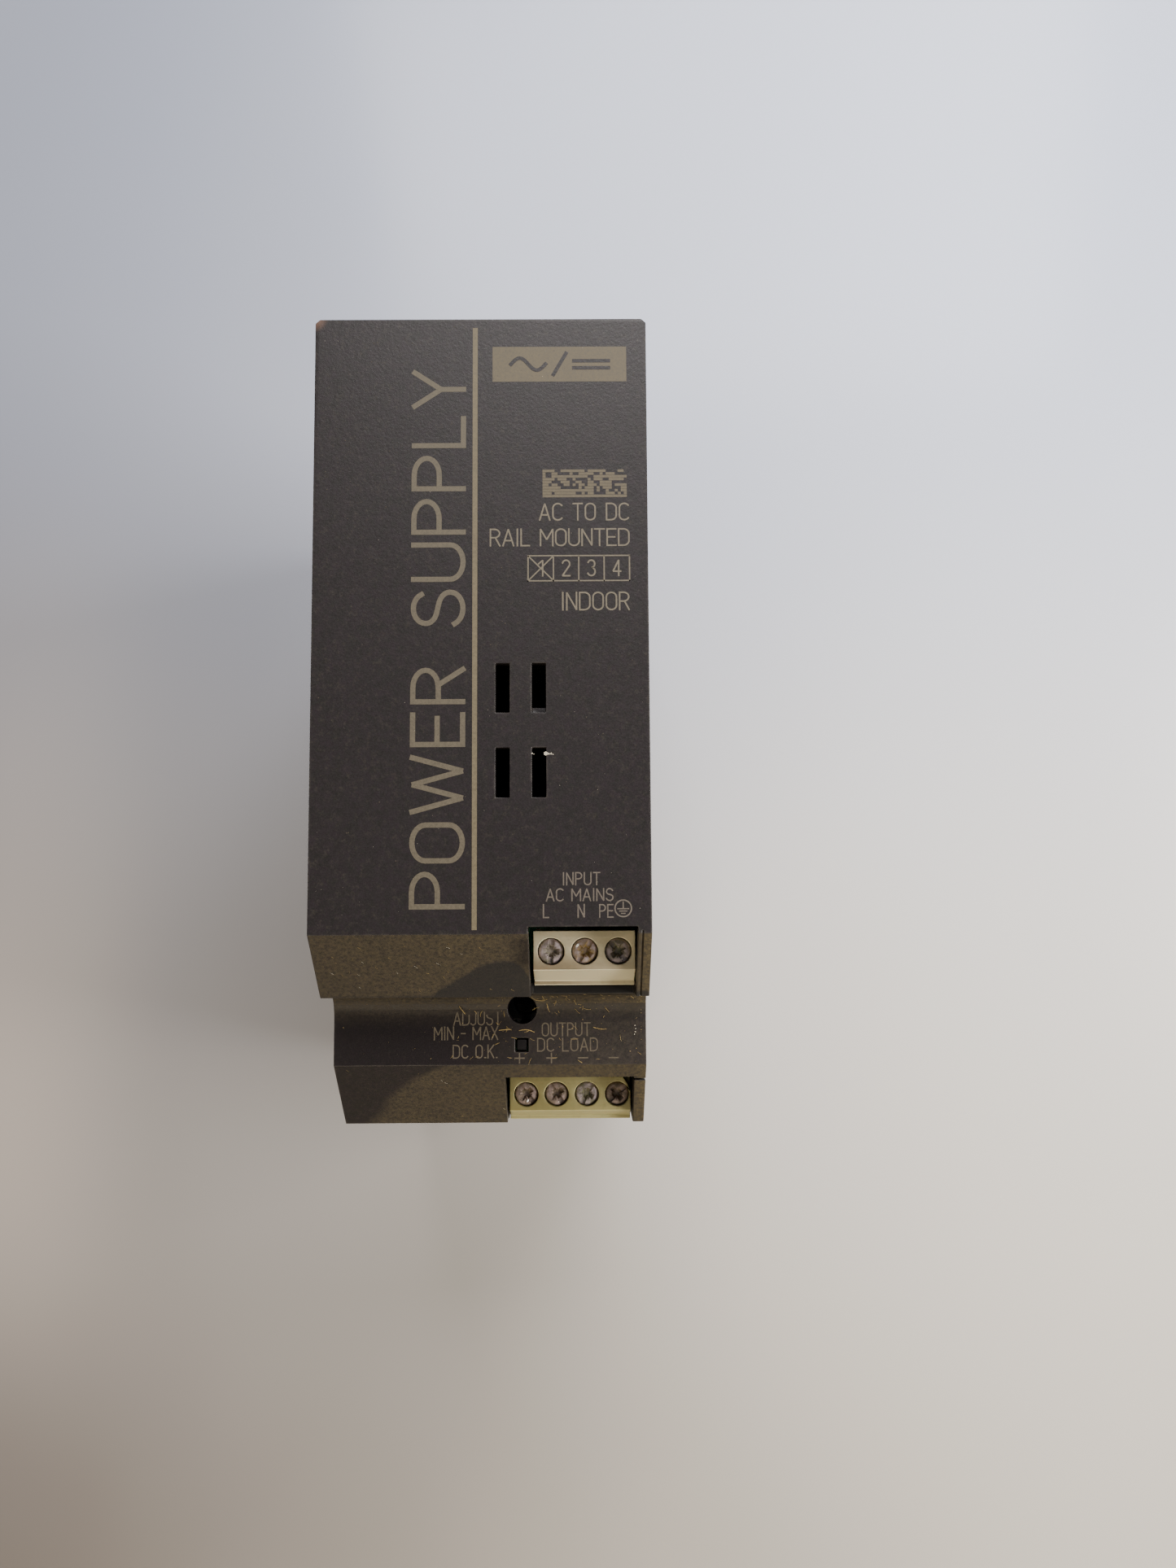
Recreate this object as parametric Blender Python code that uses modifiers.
"""DIN rail power supply, 24 V class, in a 50 mm wide plastic housing.

Row frame: +Z up, -Y the front, +X to the right as seen from the front.
The origin is the centre of the flat face that rests on the DIN rail.

Drawing coordinates, in millimetres, are easier to read for this object:
    x  to the right from the housing's centre plane
    d  depth behind the front face
    h  distance below the top of the housing
"""
import bpy
import bmesh
from math import cos, pi, radians, sin, sqrt
from mathutils import Matrix, Vector

# ---------------------------------------------------------------- dimensions
WIDTH, HEIGHT, DEPTH = 50.0, 125.0, 120.0
WALL = 2.0
GAP = 0.3                    # between pieces that touch
TOP_CHAMFER = 0.75           # on the upper long edges
SEAT_D = 114.5               # rail seat face, behind the front
SPLIT_D = 107.0              # front housing ends, rear cover starts
SIDE_D = 36.0                # side cover starts behind this depth
SLANT1_H, LEDGE_D = 92.6, 9.8
PANEL_D, COVE_R = 20.5, 3.75
SLANT2_H = 114.0
LEDGE_H = SLANT1_H + LEDGE_D
SIDE_IN = 23.1               # inner face of the side cover
FLANGE_H = 116.6             # seam above the side cover's front corner

SLOTS = [(2.24, 4.33, 52.88, 60.23), (7.60, 9.70, 52.88, 60.23),
         (2.24, 4.33, 65.43, 72.77), (7.60, 9.70, 65.43, 72.77)]

PITCH = 5.08                 # terminal pitch
POLE_IN_X, POLE_IN_N, IN_FACE_D, IN_SCREW_H = 10.10, 3, 7.9, 95.49
POLE_OUT_X, POLE_OUT_N, OUT_FACE_D, OUT_SCREW_H = 5.29, 4, 30.9, 120.30
BLOCK_DEEP = 13.0
WELL_R, HEAD_R, SHAFT_R = 2.05, 1.88, 1.20
THREAD_PITCH = 0.5           # M3
CLAMP_TRAVEL = 2.5

ADJUST_X, ADJUST_H, ADJUST_R = 5.14, 105.2, 2.3
LAMP = (4.00, 6.12, 109.76, 112.00)

RAIL_H = HEIGHT / 2          # rail centre line
RAIL_TOP_H, RAIL_LOW_H = RAIL_H - 17.7, RAIL_H + 17.7
BRIM_D = 116.0               # hooks reach behind the rail's brim from here
LATCH_TRAVEL = 4.0

# ---------------------------------------------------------------- empty scene
for old in list(bpy.data.objects):
    bpy.data.objects.remove(old, do_unlink=True)
scene = bpy.context.scene
parts = bpy.data.collections.new("din_rail_power_supply")
tools = bpy.data.collections.new("cutters")
scene.collection.children.link(parts)
scene.collection.children.link(tools)


# ---------------------------------------------------------------- materials
def finish(name, color, rough=0.6, metal=0.0):
    mat = bpy.data.materials.new(name)
    mat.use_nodes = True
    shader = mat.node_tree.nodes["Principled BSDF"]
    shader.inputs["Base Color"].default_value = (*color, 1.0)
    shader.inputs["Roughness"].default_value = rough
    shader.inputs["Metallic"].default_value = metal
    return mat


HOUSING = finish("anthracite_plastic", (0.060, 0.056, 0.058), 0.62)
BEIGE = finish("input_block_beige", (0.50, 0.43, 0.31), 0.55)
YELLOW_BEIGE = finish("output_block_beige", (0.50, 0.45, 0.25), 0.55)
STEEL = finish("plated_steel", (0.48, 0.44, 0.44), 0.42, 1.0)
SPRING_STEEL = finish("spring_steel", (0.55, 0.55, 0.56), 0.35, 1.0)
BRASS = finish("tinned_brass", (0.66, 0.60, 0.42), 0.35, 1.0)
ALU = finish("heatsink_aluminium", (0.62, 0.63, 0.65), 0.40, 1.0)
BOARD = finish("circuit_board", (0.04, 0.16, 0.07), 0.50)
FILM = finish("insulating_film", (0.72, 0.70, 0.62), 0.35)
BLACK = finish("moulded_black", (0.020, 0.020, 0.022), 0.45)
FERRITE = finish("ferrite", (0.045, 0.045, 0.05), 0.55)
TAPE = finish("winding_tape", (0.62, 0.45, 0.05), 0.40)
COPPER = finish("enamelled_copper", (0.55, 0.20, 0.07), 0.32, 1.0)
SLEEVE = finish("capacitor_sleeve", (0.02, 0.03, 0.07), 0.35)
FILM_CAP = finish("film_capacitor", (0.55, 0.42, 0.06), 0.40)
DISC_BLUE = finish("disc_blue", (0.03, 0.10, 0.35), 0.35)
DISC_GREEN = finish("disc_green", (0.04, 0.16, 0.10), 0.40)
LENS = finish("lamp_lens", (0.05, 0.10, 0.05), 0.15)
LAMP_MAT = finish("lamp_body", (0.10, 0.45, 0.12), 0.20)
ROTOR = finish("trimmer_rotor", (0.70, 0.68, 0.62), 0.45)
TRIM_BLUE = finish("trimmer_body", (0.03, 0.12, 0.40), 0.40)
WIRE_A = finish("wire_brown", (0.16, 0.07, 0.03), 0.45)
WIRE_B = finish("wire_blue", (0.03, 0.09, 0.35), 0.45)
WIRE_C = finish("wire_green", (0.10, 0.30, 0.05), 0.45)


# ---------------------------------------------------------------- helpers
def at(x, d, h):
    """Drawing coordinates to the row frame."""
    return Vector((x, d - SEAT_D, HEIGHT / 2 - h)) / 1000.0


def place(name, mesh, mat=None, where=(0, 0, 0), turn=(0, 0, 0), home=None):
    obj = bpy.data.objects.new(name, mesh)
    obj.location = where
    obj.rotation_euler = turn
    (home or parts).objects.link(obj)
    if mat is not None:
        mesh.materials.clear()
        mesh.materials.append(mat)
    if (home or parts) is tools:
        obj.hide_render = True
        obj.display_type = 'WIRE'
    return obj


def evaluated(obj):
    bpy.context.view_layer.update()
    graph = bpy.context.evaluated_depsgraph_get()
    graph.update()
    return bpy.data.meshes.new_from_object(obj.evaluated_get(graph))


def smooth(obj, degrees=35):
    obj.data.shade_smooth()
    obj.data.set_sharp_from_angle(angle=radians(degrees))


def box_mesh(name, spans):
    """One mesh of boxes, each (x0, x1, d0, d1, h0, h1) in drawing mm."""
    bm = bmesh.new()
    for x0, x1, d0, d1, h0, h1 in spans:
        size = Matrix.Diagonal(((x1 - x0) / 1000, (d1 - d0) / 1000,
                                (h1 - h0) / 1000, 1.0))
        mid = at((x0 + x1) / 2, (d0 + d1) / 2, (h0 + h1) / 2)
        bmesh.ops.create_cube(bm, size=1.0, matrix=Matrix.Translation(mid) @ size)
    mesh = bpy.data.meshes.new(name)
    bm.to_mesh(mesh)
    bm.free()
    return mesh


def box(name, x0, x1, d0, d1, h0, h1, mat, edge=0.0):
    bm = bmesh.new()
    size = Matrix.Diagonal(((x1 - x0) / 1000, (d1 - d0) / 1000,
                            (h1 - h0) / 1000, 1.0))
    bmesh.ops.create_cube(bm, size=1.0, matrix=size)
    mesh = bpy.data.meshes.new(name)
    bm.to_mesh(mesh)
    bm.free()
    obj = place(name, mesh, mat, at((x0 + x1) / 2, (d0 + d1) / 2, (h0 + h1) / 2))
    if edge:
        bev = obj.modifiers.new("edge", 'BEVEL')
        bev.width = edge / 1000
        bev.segments = 1
    return obj


def cutters(name, spans):
    return place(name, box_mesh(name, spans), home=tools)


def rods_mesh(name, rods, axis='Y', sides=24):
    """One mesh of round rods: (centre, radius mm, length mm) along an axis."""
    turn = {'X': Matrix.Rotation(pi / 2, 4, 'Y'),
            'Y': Matrix.Rotation(pi / 2, 4, 'X'),
            'Z': Matrix.Identity(4)}[axis]
    bm = bmesh.new()
    for centre, r, length in rods:
        bmesh.ops.create_cone(bm, cap_ends=True, cap_tris=False, segments=sides,
                              radius1=r / 1000, radius2=r / 1000,
                              depth=length / 1000,
                              matrix=Matrix.Translation(centre) @ turn)
    mesh = bpy.data.meshes.new(name)
    bm.to_mesh(mesh)
    bm.free()
    return mesh


def outline(name, loops, lo, hi, mat=None, plane='DH', home=None):
    """Flat outline with holes, extruded: a 2D curve made into a mesh.

    plane 'DH' takes (d, h) points and runs from x = lo to hi,
    plane 'XH' takes (x, h) points and runs from d = lo to hi.
    """
    curve = bpy.data.curves.new(name, 'CURVE')
    curve.dimensions = '2D'
    curve.fill_mode = 'BOTH'
    curve.extrude = (hi - lo) / 2000.0
    for loop in loops:
        line = curve.splines.new('POLY')
        line.points.add(len(loop) - 1)
        for point, (a, b) in zip(line.points, loop):
            if plane == 'DH':
                point.co = ((a - SEAT_D) / 1000, (HEIGHT / 2 - b) / 1000, 0, 1)
            else:
                point.co = (a / 1000, (HEIGHT / 2 - b) / 1000, 0, 1)
        line.use_cyclic_u = True
    raw = bpy.data.objects.new(name + "_outline", curve)
    mid = (lo + hi) / 2
    if plane == 'DH':
        raw.matrix_world = Matrix(((0, 0, 1, mid / 1000), (1, 0, 0, 0),
                                   (0, 1, 0, 0), (0, 0, 0, 1)))
    else:
        raw.matrix_world = Matrix(((1, 0, 0, 0), (0, 0, -1, (mid - SEAT_D) / 1000),
                                   (0, 1, 0, 0), (0, 0, 0, 1)))
    tools.objects.link(raw)
    mesh = evaluated(raw)
    bm = bmesh.new()
    bm.from_mesh(mesh)
    bmesh.ops.remove_doubles(bm, verts=bm.verts, dist=0.00001)
    bmesh.ops.dissolve_limit(bm, angle_limit=0.001, verts=bm.verts, edges=bm.edges)
    bm.to_mesh(mesh)
    bm.free()
    obj = place(name, mesh, mat, home=home)
    obj.matrix_world = raw.matrix_world.copy()
    bpy.data.objects.remove(raw, do_unlink=True)
    return obj


def turned(name, profile, mat, where, axis='X', sides=20):
    """Turned solid: profile of (radius, height) mm from its top to its foot."""
    mesh = bpy.data.meshes.new(name)
    verts = [(r / 1000, 0.0, z / 1000) for r, z in profile]
    mesh.from_pydata(verts, [(i, i + 1) for i in range(len(verts) - 1)], [])
    turn = {'X': (0, pi / 2, 0), '-Y': (pi / 2, 0, 0), 'Z': (0, 0, 0)}[axis]
    obj = place(name, mesh, mat, where, turn)
    spin = obj.modifiers.new("turned", 'SCREW')
    spin.axis = 'Z'
    spin.angle = 2 * pi
    spin.steps = spin.render_steps = sides
    spin.use_merge_vertices = True
    spin.merge_threshold = 0.00002
    spin.use_smooth_shade = False
    return obj


def boolean(obj, other, how='DIFFERENCE'):
    mod = obj.modifiers.new("cut" if how == 'DIFFERENCE' else "join", 'BOOLEAN')
    mod.operation = how
    mod.solver = 'EXACT'
    mod.object = other
    return mod


def drop(obj):
    bpy.data.objects.remove(obj, do_unlink=True)


def inset(loop, t):
    """Parallel loop, t inside a counter-clockwise one in (d, -h) sense."""
    out = []
    n = len(loop)
    for i in range(n):
        a, b, c = (Vector(loop[(i + k) % n]) for k in (-1, 0, 1))
        e1, e2 = (b - a).normalized(), (c - b).normalized()
        n1, n2 = Vector((e1.y, -e1.x)), Vector((e2.y, -e2.x))
        out.append(tuple(b + (n1 + n2) * (t / (1.0 + n1.dot(n2)))))
    return out


def arc(cx, cy, r, a0, a1, steps):
    return [(cx + r * sin(a0 + (a1 - a0) * i / steps),
             cy - r * cos(a0 + (a1 - a0) * i / steps)) for i in range(steps + 1)]


def rounded(x0, x1, y0, y1, r, steps=4):
    pts = []
    for cx, cy, a in ((x1 - r, y0 + r, 0), (x1 - r, y1 - r, pi / 2),
                      (x0 + r, y1 - r, pi), (x0 + r, y0 + r, 3 * pi / 2)):
        pts += arc(cx, cy, r, a, a + pi / 2, steps)
    return pts


def top_chamfers(name):
    """Cutters that take the corner off both upper long edges."""
    w, e, far = WIDTH / 2, 0.2, DEPTH + 2
    left = outline(name, [
        [(-w - e, -e), (-w + TOP_CHAMFER + e, -e), (-w - e, TOP_CHAMFER * 0.8 + e * 0.8)],
        [(w + e, -e), (w - TOP_CHAMFER - e, -e), (w + e, TOP_CHAMFER * 0.8 + e * 0.8)]],
        -1, far, home=tools, plane='XH')
    return left


# ---------------------------------------------------------------- front housing
front_line = ([(0, 0), (0, SLANT1_H), (LEDGE_D, LEDGE_H)]
              + arc(PANEL_D - COVE_R, LEDGE_H + COVE_R, COVE_R, 0, pi / 2, 6)
              + [(PANEL_D, SLANT2_H), (PANEL_D + HEIGHT - SLANT2_H, HEIGHT)])
side_line = front_line + [(SPLIT_D, HEIGHT), (SPLIT_D, 0)]
hollow_line = inset(front_line + [(SPLIT_D + 5, HEIGHT), (SPLIT_D + 5, 0)], WALL)

front_housing = outline("front_housing", [side_line], -WIDTH / 2, WIDTH / 2, HOUSING)
boolean(front_housing, outline("cut_hollow", [hollow_line],
                               -WIDTH / 2 + WALL, WIDTH / 2 - 1.7, home=tools))
# the side cover's place, and its front corner below the slanted strip
boolean(front_housing, cutters("cut_side", [
    (SIDE_IN - GAP, 27, SIDE_D, SPLIT_D + 2, -2, HEIGHT + 2)]))
boolean(front_housing, cutters("cut_corner", [
    (SIDE_IN - GAP, 27, 15, SIDE_D + 2, FLANGE_H, HEIGHT + 2)]))
# terminal notches
boolean(front_housing, outline("cut_input_notch", [[
    (-1, 91.6), (19.2, 91.6), (19.2, 101.2), (17.9, 101.2), (17.9, 104.6), (-1, 104.6)]],
    6.95, 22.95, home=tools))
boolean(front_housing, cutters("cut_output_notch", [
    (2.2, SIDE_IN, 15, 44.0, 116.3, HEIGHT + 2)]))
# front vents, adjuster hole, lamp window
boolean(front_housing, cutters("cut_front_slots", [
    (x0, x1, -1, 3.5, h0, h1) for x0, x1, h0, h1 in SLOTS]))
boolean(front_housing, place("cut_adjust", rods_mesh("cut_adjust", [
    (at(ADJUST_X, 20, ADJUST_H), ADJUST_R, 12)]), home=tools))
boolean(front_housing, cutters("cut_lamp", [
    (LAMP[0], LAMP[1], 18, 26, LAMP[2], LAMP[3])]))
# cooling slots in the top and the bottom wall
top_slots = [(x0, x0 + 17.0, 10 + 6.4 * i, 13 + 6.4 * i, -1, WALL + 1)
             for i in range(15) for x0 in (-19.0, 2.5)]
low_slots = [(x0, x0 + 17.0, 10 + 6.4 * i, 13 + 6.4 * i, HEIGHT - WALL - 1, HEIGHT + 1)
             for i in range(6, 15) for x0 in (-19.0, 2.5)]
boolean(front_housing, cutters("cut_cooling", top_slots + low_slots))
# chamfers along the two upper long edges, and a groove beside the input notch
boolean(front_housing, top_chamfers("cut_front_chamfers"))
boolean(front_housing, outline("cut_strip_groove", [[
    (-1, 92.2), (0.35, 92.2), (0.35, 92.6), (LEDGE_D + 0.35, LEDGE_H), (LEDGE_D - 2, LEDGE_H)]],
    23.55, 23.75, home=tools))
# bridge behind the lower end of one front slot
boolean(front_housing, place("join_bridge", box_mesh("join_bridge", [
    (6.6, 10.8, 1.5, 4.5, 59.35, 61.2)]), home=tools), 'UNION')

# ---------------------------------------------------------------- side cover
side_cover = outline("side_cover", [[
    (SIDE_D + GAP, 0), (SPLIT_D, 0), (SPLIT_D, HEIGHT),
    (PANEL_D + HEIGHT - SLANT2_H, HEIGHT),
    (PANEL_D + FLANGE_H + GAP - SLANT2_H, FLANGE_H + GAP),
    (SIDE_D + GAP, FLANGE_H + GAP)]], SIDE_IN, WIDTH / 2, HOUSING)

boolean(side_cover, top_chamfers("cut_side_chamfers"))

# ---------------------------------------------------------------- rear cover
rear_cover = place("rear_cover", box_mesh("rear_cover", [
    (-WIDTH / 2, WIDTH / 2, SPLIT_D + GAP, DEPTH, 0, HEIGHT)]), HOUSING)
boolean(rear_cover, cutters("cut_rear_hollow", [
    (-23, 23, SPLIT_D - 2, SEAT_D - WALL, WALL, HEIGHT - WALL)]))
boolean(rear_cover, cutters("cut_rear_pockets", [
    (-23, 23, SEAT_D - WALL - 1, DEPTH - WALL, WALL, RAIL_TOP_H - WALL),
    (-23, -9.4, SEAT_D - WALL - 1, DEPTH - WALL, RAIL_LOW_H + WALL, HEIGHT - WALL),
    (9.4, 23, SEAT_D - WALL - 1, DEPTH - WALL, RAIL_LOW_H + WALL, HEIGHT - WALL)]))
boolean(rear_cover, cutters("cut_rail", [
    (-27, 27, BRIM_D, DEPTH + 2, RAIL_TOP_H + 2.0, RAIL_LOW_H)]))
boolean(rear_cover, cutters("cut_rail_brim", [
    (-27, 27, SEAT_D, BRIM_D + 0.5, RAIL_TOP_H, RAIL_LOW_H)]))
# relief grooves leave a raised land for the rail, clear of both hooks
boolean(rear_cover, cutters("cut_rail_reliefs", [
    (-27, 27, SEAT_D - 0.4, SEAT_D + 0.5, RAIL_TOP_H, RAIL_TOP_H + 2.6),
    (-27, 27, SEAT_D - 0.4, SEAT_D + 0.5, RAIL_LOW_H - 2.6, RAIL_LOW_H)]))
boolean(rear_cover, top_chamfers("cut_rear_chamfers"))
boolean(rear_cover, cutters("cut_latch_guide", [
    (-7.4, 7.4, 113.9, 116.8, RAIL_LOW_H - 1, HEIGHT + 2)]))
boolean(rear_cover, cutters("cut_latch_mouth", [
    (-5.4, 5.4, 113.6, DEPTH + 2, RAIL_LOW_H - 2, HEIGHT + 3)]))
boolean(rear_cover, place("join_spring_post", box_mesh("join_spring_post", [
    (-2.3, 2.3, 112.8, 119.2, 110.0, 113.0)]), home=tools), 'UNION')

# ---------------------------------------------------------------- rail latch
rail_latch = outline("rail_latch", [
    [(114.2, 80.6), (116.0, 80.6), (116.0, 78.4), (118.0, 78.4), (119.6, 80.4),
     (119.6, 124.2), (114.2, 124.2)]], -5.0, 5.0, HOUSING)
boolean(rail_latch, place("join_latch_flange", box_mesh("join_latch_flange", [
    (-7.1, 7.1, 114.2, 116.5, 84.0, 120.2)]), home=tools), 'UNION')
boolean(rail_latch, cutters("cut_latch_window", [
    (-2.9, 2.9, 113, 121, 93.0, 113.4)]))
boolean(rail_latch, cutters("cut_latch_driver_slot", [
    (-2.6, 2.6, 116.2, 121, 117.6, 121.2)]))

# compression spring in the latch window, on the cover's post
turns, around = 6.5, 12
spring_top, spring_low = 93.65, 109.35
coil = bpy.data.curves.new("latch_spring", 'CURVE')
coil.dimensions = '3D'
coil.bevel_depth = 0.30 / 1000
coil.bevel_resolution = 2
coil.use_fill_caps = True
line = coil.splines.new('POLY')
count = int(turns * around)
line.points.add(count)
for i in range(count + 1):
    a = 2 * pi * i / around
    h = spring_low + (spring_top - spring_low) * i / count
    line.points[i].co = (*at(1.95 * cos(a), 117.0 + 1.95 * sin(a), h), 1)
raw = bpy.data.objects.new("spring_line", coil)
tools.objects.link(raw)
coil_mesh = evaluated(raw)
bm = bmesh.new()
bm.from_mesh(coil_mesh)
bmesh.ops.remove_doubles(bm, verts=bm.verts, dist=0.000005)
bm.to_mesh(coil_mesh)
bm.free()
latch_spring = place("latch_spring", coil_mesh, SPRING_STEEL)
latch_spring.matrix_world = raw.matrix_world.copy()
smooth(latch_spring, 60)
drop(raw)

# ---------------------------------------------------------------- boards
main_board = outline("main_board", [[
    (4, 4.6), (104, 4.6), (104, 120.4), (33.5, 120.4), (25, 111.9), (25, 97),
    (13, 97), (4, 88)]], -20.6, -19.0, BOARD)
insulating_sheet = outline("insulating_sheet", [[
    (3, 3.6), (105, 3.6), (105, 121.4), (33.6, 121.4), (24, 111.8), (24, 98),
    (12, 98), (3, 89)]], -22.4, -22.0, FILM)
IN_BOARD_D = IN_FACE_D + BLOCK_DEEP + GAP
OUT_BOARD_D = OUT_FACE_D + BLOCK_DEEP + GAP
input_board = box("input_board", 3.0, 22.9, IN_BOARD_D, IN_BOARD_D + 1.6,
                  78.0, 100.1, BOARD)
control_board = box("control_board", -18.7, 22.4, OUT_BOARD_D, OUT_BOARD_D + 1.6,
                    84.0, 122.4, BOARD)


# ---------------------------------------------------------------- terminals
def terminal_block(name, x0, x1, face_d, screw_h, poles, lip, mat, top=3.09):
    """Screw terminal block: screws at the front, wires in from below.

    lip is (step, slope depth, slope end, foot), measured below the screws.
    """
    step, deep, end, foot = lip
    block = outline(name, [[(face_d + e, screw_h + v) for e, v in (
        (0, -top), (0, step), (0.35, step), (deep, end), (deep, foot),
        (BLOCK_DEEP, foot), (BLOCK_DEEP, -top))]], x0, x1, mat)
    wells = [(at(x, face_d + 0.7, screw_h), WELL_R, 3.4) for x in poles]
    necks = [(at(x, face_d + 2.9, screw_h), 1.75, 1.9) for x in poles]
    boolean(block, place(name + "_wells", rods_mesh(name + "_wells", wells), home=tools))
    boolean(block, place(name + "_necks", rods_mesh(name + "_necks", necks, sides=16),
                         home=tools))
    boolean(block, cutters(name + "_chambers", [
        (x - 2.2, x + 2.2, face_d + 3.2, face_d + 12.3, screw_h - 2.6, screw_h + 2.55)
        for x in poles]))
    boolean(block, cutters(name + "_wire_ways", [
        (x - 1.7, x + 1.7, face_d + 6.0, face_d + 10.8, screw_h + 2.0, screw_h + foot + 1)
        for x in poles]))
    boolean(block, cutters(name + "_pin_ways", [
        (x - 0.8, x + 0.8, face_d + 12.0, face_d + 14.0, screw_h - 2.5, screw_h - 1.8)
        for x in poles]))
    return block


in_poles = [POLE_IN_X + PITCH * i for i in range(POLE_IN_N)]
out_poles = [POLE_OUT_X + PITCH * i for i in range(POLE_OUT_N)]
input_block = terminal_block("input_terminal_block", 7.4, 22.85, IN_FACE_D,
                             IN_SCREW_H, in_poles, (2.85, 4.2, 4.6, 5.35), BEIGE)
output_block = terminal_block("output_terminal_block", 2.5, 22.8, OUT_FACE_D,
                              OUT_SCREW_H, out_poles, (2.75, 3.0, 3.9, 4.55),
                              YELLOW_BEIGE, top=2.95)
# the output block's upper right corner is rounded off at the front
corner = outline("cut_block_corner", [
    [(22.0, OUT_SCREW_H - 4.2), (24.0, OUT_SCREW_H - 4.2), (24.0, OUT_SCREW_H - 0.2),
     (22.72, OUT_SCREW_H - 0.6), (22.3, OUT_SCREW_H - 1.7), (21.7, OUT_SCREW_H - 2.6),
     (21.2, OUT_SCREW_H - 3.4)]], OUT_FACE_D - 1, OUT_FACE_D + 1.6,
    plane='XH', home=tools)
boolean(output_block, corner)

# solder holes in the boards
boolean(input_board, cutters("cut_input_holes", [
    (x - 0.9, x + 0.9, IN_BOARD_D - 1, IN_BOARD_D + 3, IN_SCREW_H - 2.7, IN_SCREW_H - 1.7)
    for x in in_poles]))
boolean(control_board, cutters("cut_output_holes", [
    (x - 0.9, x + 0.9, OUT_BOARD_D - 1, OUT_BOARD_D + 3, OUT_SCREW_H - 2.7,
     OUT_SCREW_H - 1.7) for x in out_poles]))

# one screw, one clamp cage and one contact, each copied to every pole.
# Local frame: origin on the screw's axis at the block's face, +Y into the block.
screw = turned("screw_pattern", [
    (0, -0.65), (HEAD_R - 0.25, -0.65), (HEAD_R, -0.85), (HEAD_R, -2.05),
    (SHAFT_R, -2.05), (SHAFT_R, -6.9), (SHAFT_R - 0.3, -7.2), (0, -7.2)],
    STEEL, (0, 0, 0), axis='-Y', sides=24)
slot = place("cut_screw_slot", bpy.data.meshes.new("cut_screw_slot"), home=tools)
bm = bmesh.new()
bmesh.ops.create_cube(bm, size=1.0, matrix=Matrix.Translation((0, 0.0007, 0))
                      @ Matrix.Diagonal((0.0050, 0.0014, 0.0008, 1)))
bm.to_mesh(slot.data)
bm.free()
cross = place("cut_screw_cross", bpy.data.meshes.new("cut_screw_cross"), home=tools)
bm = bmesh.new()
bmesh.ops.create_cube(bm, size=1.0, matrix=Matrix.Translation((0, 0.0008, 0))
                      @ Matrix.Diagonal((0.0007, 0.0016, 0.0024, 1)))
bm.to_mesh(cross.data)
bm.free()
boolean(screw, slot)
boolean(screw, cross)
screw_mesh = evaluated(screw)
screw_mesh.transform(screw.matrix_world)
drop(screw)


def local_boxes(spans):
    bm = bmesh.new()
    for x0, x1, y0, y1, z0, z1 in spans:
        bmesh.ops.create_cube(bm, size=1.0, matrix=Matrix.Translation((
            (x0 + x1) / 2000, (y0 + y1) / 2000, (z0 + z1) / 2000)) @ Matrix.Diagonal((
                (x1 - x0) / 1000, (y1 - y0) / 1000, (z1 - z0) / 1000, 1)))
    mesh = bpy.data.meshes.new("local_boxes")
    bm.to_mesh(mesh)
    bm.free()
    return mesh


CAGE_Y = 6.0                 # front of the cage when the clamp is open
cage = place("cage_pattern", local_boxes([(-1.95, 1.95, 0, 6.0, -2.3, 1.6)]), STEEL)
boolean(cage, place("cut_cage_window", local_boxes([(-1.35, 1.35, 1.2, 5.2, -3, 3)]),
                    home=tools))
bore = bmesh.new()
bmesh.ops.create_cone(bore, cap_ends=True, segments=12, radius1=0.00172, radius2=0.00172,
                      depth=0.003, matrix=Matrix.Translation((0, 0.0004, 0))
                      @ Matrix.Rotation(pi / 2, 4, 'X'))
bore_mesh = bpy.data.meshes.new("cut_cage_bore")
bore.to_mesh(bore_mesh)
bore.free()
boolean(cage, place("cut_cage_bore", bore_mesh, home=tools))
cage_mesh = evaluated(cage)
drop(cage)

contact = place("contact_pattern", local_boxes([(-0.6, 0.6, 7.5, 8.1, -2.2, 2.4)]), BRASS)
boolean(contact, place("join_pin", local_boxes([(-0.6, 0.6, 7.8, 16.4, 1.95, 2.4)]),
                       home=tools), 'UNION')
contact_mesh = evaluated(contact)
drop(contact)

for group, poles, face_d, screw_h in (("input", in_poles, IN_FACE_D, IN_SCREW_H),
                                      ("output", out_poles, OUT_FACE_D, OUT_SCREW_H)):
    for i, x in enumerate(poles, 1):
        s = place(f"{group}_screw_{i}", screw_mesh, STEEL, at(x, face_d, screw_h))
        place(f"{group}_clamp_{i}", cage_mesh, STEEL, at(x, face_d + CAGE_Y, screw_h))
        place(f"{group}_contact_{i}", contact_mesh, BRASS, at(x, face_d, screw_h))

# ---------------------------------------------------------------- adjuster, lamp
trimmer_body = box("trimmer_body", 1.9, 8.4, 36.0, OUT_BOARD_D - GAP,
                   ADJUST_H - 3.2, ADJUST_H + 3.2, TRIM_BLUE)
boolean(trimmer_body, place("cut_trimmer_cup", rods_mesh("cut_trimmer_cup", [
    (at(ADJUST_X, 36.0, ADJUST_H), 2.2, 3.2)], sides=20), home=tools))
trimmer_rotor = turned("trimmer_rotor", [
    (0, 1.2), (1.7, 1.2), (1.9, 1.0), (1.9, -1.2), (0, -1.2)], ROTOR,
    at(ADJUST_X, 36.0, ADJUST_H), axis='-Y', sides=20)
rotor_slot = place("cut_rotor_slot", local_boxes([(-2.4, 2.4, -2.0, -0.5, -0.35, 0.35)]),
                   where=at(ADJUST_X, 36.0, ADJUST_H), home=tools)
boolean(trimmer_rotor, rotor_slot)

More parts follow.
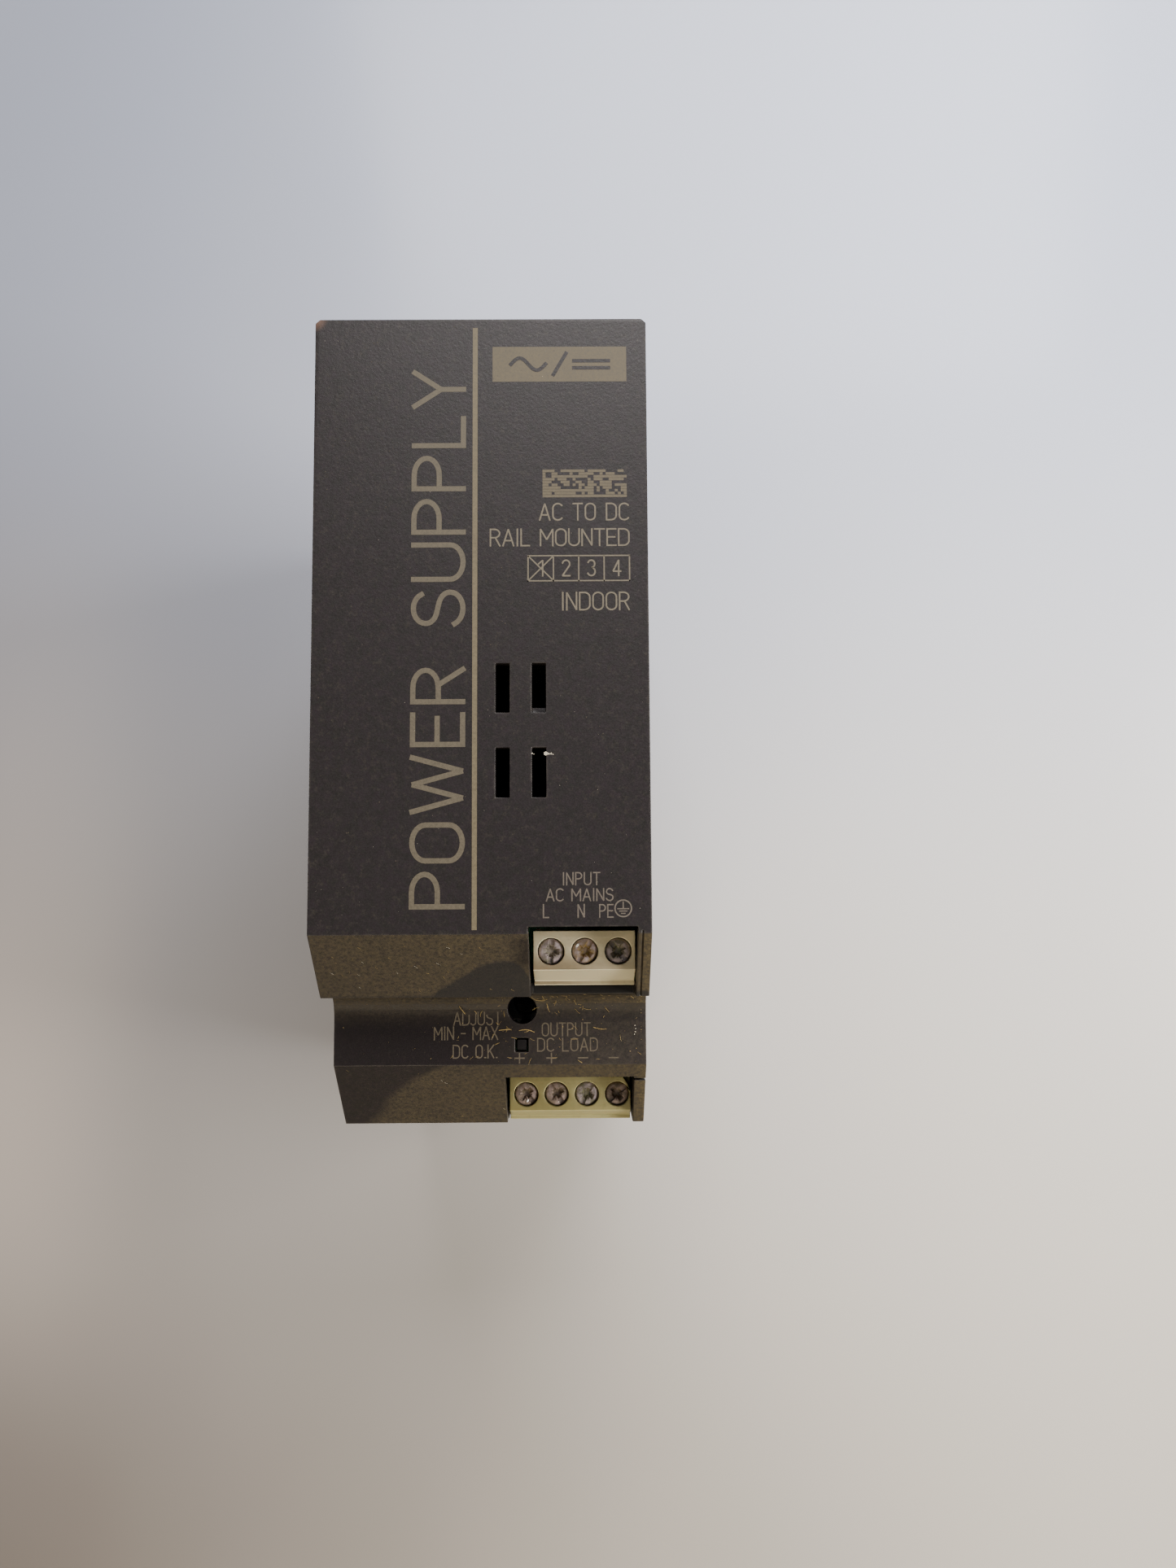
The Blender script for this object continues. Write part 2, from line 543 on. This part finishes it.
light_pipe = box("light_pipe", LAMP[0] + 0.25, LAMP[1] - 0.25, PANEL_D + 0.3, 41.4,
                 LAMP[2] + 0.25, LAMP[3] - 0.25, LENS)
lamp_x, lamp_h = (LAMP[0] + LAMP[1]) / 2, (LAMP[2] + LAMP[3]) / 2
status_lamp = turned("status_lamp", [
    (0, 2.2), (0.9, 2.0), (1.4, 1.4), (1.5, 0.8), (1.5, 0.0), (0, 0.0)], LAMP_MAT,
    at(lamp_x, OUT_BOARD_D - GAP, lamp_h), axis='-Y', sides=16)

# ---------------------------------------------------------------- on the boards
BOARD_X = -19.0 + GAP


def can(name, d, h, r, height, mat):
    """Round can standing on the main board, with a rolled groove at its foot."""
    return turned(name, [(0, height), (r - 0.8, height), (r, height - 0.8), (r, 3.2),
                         (r - 0.7, 2.6), (r - 0.7, 2.0), (r, 1.4), (r, 0), (0, 0)],
                  mat, at(BOARD_X, d, h), axis='X', sides=22)


can("bulk_capacitor_front", 17.0, 17.5, 11.0, 38.0, SLEEVE)
can("bulk_capacitor_rear", 41.0, 17.5, 11.0, 38.0, SLEEVE)
can("output_capacitor_1", 56.5, 100.0, 6.3, 25.0, SLEEVE)
can("output_capacitor_2", 72.0, 100.0, 6.3, 25.0, SLEEVE)
can("fuse", 34.5, 93.5, 4.2, 8.0, BLACK)

# transformer: core with its middle leg along x, winding round the leg
transformer_core = outline("transformer_core", [
    [(-17.0, 16), (13.0, 16), (13.0, 44), (-17.0, 44)],
    [(-13.5, 19.5), (9.5, 19.5), (9.5, 26), (-13.5, 26)],
    [(-13.5, 34), (9.5, 34), (9.5, 40.5), (-13.5, 40.5)]], 66.5, 77.5, FERRITE,
    plane='XH')
transformer_winding = outline("transformer_winding", [
    rounded(60.5, 83.5, 19.9, 40.1, 4.0),
    [(66.2, 25.7), (77.8, 25.7), (77.8, 34.3), (66.2, 34.3)]], -13.2, 9.2, TAPE)

# line filter choke: closed frame core, winding on its rear leg
line_choke_core = outline("line_choke_core", [
    [(38, 54), (56, 54), (56, 74), (38, 74)],
    [(42, 58), (52, 58), (52, 70), (42, 70)]], -16.0, -10.0, FERRITE)
line_choke_winding = outline("line_choke_winding", [
    [(p[0], p[1]) for p in rounded(-18.4, -7.6, 49.0, 59.0, 2.0)],
    [(-16.3, 51.7), (-9.7, 51.7), (-9.7, 56.3), (-16.3, 56.3)]], 0.0, 1.0, COPPER,
    plane='XH')
# the winding's outline lies across the leg, so it is turned to run along the leg
line_choke_winding.data.transform(line_choke_winding.matrix_world)
line_choke_winding.matrix_world = Matrix.Identity(4)
for v in line_choke_winding.data.vertices:
    x, y, z = v.co
    depth = HEIGHT / 2 - z * 1000            # the outline's second coordinate
    along = (y * 1000 + SEAT_D)              # 0 to 1
    v.co = at(x * 1000, depth, 58.4 + along * 11.2)
line_choke_winding.data.update()
bm = bmesh.new()
bm.from_mesh(line_choke_winding.data)
bmesh.ops.recalc_face_normals(bm, faces=bm.faces)
bm.to_mesh(line_choke_winding.data)
bm.free()

output_choke_mesh = bpy.data.meshes.new("output_choke")
bpy.ops.mesh.primitive_torus_add(major_segments=24, minor_segments=10,
                                 major_radius=0.0085, minor_radius=0.0038,
                                 location=at(BOARD_X + 4.2, 90.5, 92.0),
                                 rotation=(0, pi / 2, 0))
output_choke = bpy.context.object
output_choke.name = output_choke.data.name = "output_choke"
for c in list(output_choke.users_collection):
    c.objects.unlink(output_choke)
parts.objects.link(output_choke)
output_choke.data.materials.append(COPPER)
bpy.data.meshes.remove(output_choke_mesh)

box("x_capacitor", BOARD_X, -1.0, 23.0, 33.0, 56.0, 77.0, FILM_CAP, 0.8)
box("bridge_rectifier", BOARD_X, 1.0, 14.0, 18.5, 34.0, 54.0, BLACK, 0.5)
turned("inrush_thermistor", [(0, 2.5), (5.2, 2.5), (6.2, 1.6), (6.5, 0.0), (6.2, -1.6),
                             (5.2, -2.5), (0, -2.5)], DISC_GREEN,
       at(BOARD_X + 7.0, 34.0, 42.0), axis='-Y', sides=18)
turned("y_capacitor", [(0, 1.6), (3.2, 1.6), (4.1, 0.9), (4.1, -0.9), (3.2, -1.6),
                       (0, -1.6)], DISC_BLUE,
       at(BOARD_X + 4.6, 66.0, 62.0), axis='-Y', sides=16)
box("control_chip", -14.0, -7.5, OUT_BOARD_D - GAP - 2.2, OUT_BOARD_D - GAP, 92.0, 96.2,
    BLACK, 0.2)

outline("primary_heatsink", [
    [(57.5, 5.2), (100, 5.2), (100, 20.0), (97.5, 20.0), (97.5, 7.7), (57.5, 7.7)]],
    -18.6, 18.0, ALU)
box("power_transistor", -12.0, 4.5, 66.0, 76.0, 8.0, 12.5, BLACK, 0.4)
outline("secondary_heatsink", [
    [(52, 119.8), (100, 119.8), (100, 106.0), (97.5, 106.0), (97.5, 117.3), (52, 117.3)]],
    -18.6, 18.0, ALU)
box("output_diode", -12.0, 4.5, 66.0, 76.0, 112.4, 117.0, BLACK, 0.4)

# leads from the input board to the main board, each in its own level
for i, (label, mat) in enumerate((("line", WIRE_A), ("neutral", WIRE_B),
                                  ("earth", WIRE_C))):
    x_start, level, d_end = 6.0 + 4.0 * i, 80.2 + 2.6 * i, 30.0 + 2.5 * i
    a = Vector((x_start, IN_BOARD_D + 1.6 + GAP))
    b = Vector((x_start, IN_BOARD_D + 13.0))
    c = Vector((-8.0, d_end))
    e = Vector((BOARD_X, d_end))
    lead = bpy.data.curves.new("wire_path", "CURVE")
    lead.dimensions = '3D'
    lead.bevel_depth = 0.85 / 1000
    lead.bevel_resolution = 2
    lead.use_fill_caps = True
    line = lead.splines.new('POLY')
    steps = 14
    line.points.add(steps)
    for k in range(steps + 1):
        t = k / steps
        p = (a * (1 - t) ** 3 + b * 3 * t * (1 - t) ** 2 + c * 3 * t * t * (1 - t)
             + e * t ** 3)
        line.points[k].co = (*at(p.x, p.y, level), 1)
    raw = bpy.data.objects.new("wire_path", lead)
    tools.objects.link(raw)
    lead_mesh = evaluated(raw)
    bm = bmesh.new()
    bm.from_mesh(lead_mesh)
    bmesh.ops.remove_doubles(bm, verts=bm.verts, dist=0.000005)
    bm.to_mesh(lead_mesh)
    bm.free()
    smooth(place("lead_" + label, lead_mesh, mat), 60)
    drop(raw)

for obj in parts.objects:
    if obj.name.startswith(("bulk", "output_cap", "fuse", "inrush", "y_cap",
                            "status", "output_choke", "trimmer_rotor")):
        if obj.modifiers and obj.modifiers[0].type == 'SCREW':
            obj.modifiers[0].use_smooth_shade = False
